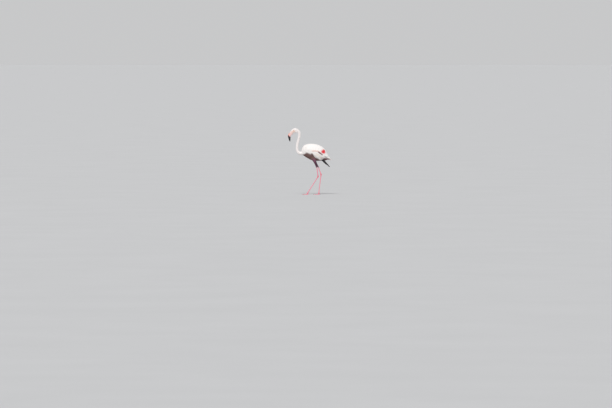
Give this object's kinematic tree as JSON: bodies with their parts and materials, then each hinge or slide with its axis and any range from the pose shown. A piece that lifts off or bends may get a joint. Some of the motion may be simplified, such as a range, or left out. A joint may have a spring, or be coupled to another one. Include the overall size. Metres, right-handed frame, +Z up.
{
  "type": "greater flamingo",
  "caption": "Life-size still model of a greater flamingo walking, neck in a slack S, bill down, wings folded, standing on two webbed feet.",
  "frame": {"origin": "on the floor, under the middle of the bird's bounding box", "axes": "+Z up; the bird faces -X; its left side is towards -Y"},
  "size_m": [0.7092, 0.2006, 1.0631],
  "materials": {
    "plumage": "soft white feathers with a pink flush",
    "plumage_pink": "soft pale pink wing coverts",
    "flight_black": "black flight feathers with a faint sheen",
    "bill_pink": "smooth pink horn",
    "bill_black": "smooth black horn",
    "eye": "wet pale yellow iris with a dark pupil",
    "leg_pink": "scaly pink skin",
    "claw": "dark horn"
  },
  "bodies": {
    "root": {"ankle_left": "leg_pink", "ankle_right": "leg_pink", "bill_lower": "bill_pink", "bill_lower_tip": "bill_black", "bill_upper": "bill_pink", "bill_upper_tip": "bill_black", "claw_hind_left": "claw", "claw_hind_right": "claw", "claw_inner_left": "claw", "claw_inner_right": "claw", "claw_middle_left": "claw", "claw_middle_right": "claw", "claw_outer_left": "claw", "claw_outer_right": "claw", "eye_left": "eye", "eye_right": "eye", "foot_left": "leg_pink", "foot_right": "leg_pink", "head": "plumage", "hind_toe_left": "leg_pink", "hind_toe_right": "leg_pink", "neck_lower": "plumage", "neck_middle": "plumage", "neck_upper": "plumage", "primaries_left": "flight_black", "primaries_right": "flight_black", "scapulars_left": "plumage", "scapulars_right": "plumage", "shin_left": "leg_pink", "shin_right": "leg_pink", "tail": "plumage", "tarsus_left": "leg_pink", "tarsus_right": "leg_pink", "thigh_left": "plumage", "thigh_right": "plumage", "trunk": "plumage", "wing_left": "plumage_pink", "wing_right": "plumage_pink"}
  },
  "joints": []
}
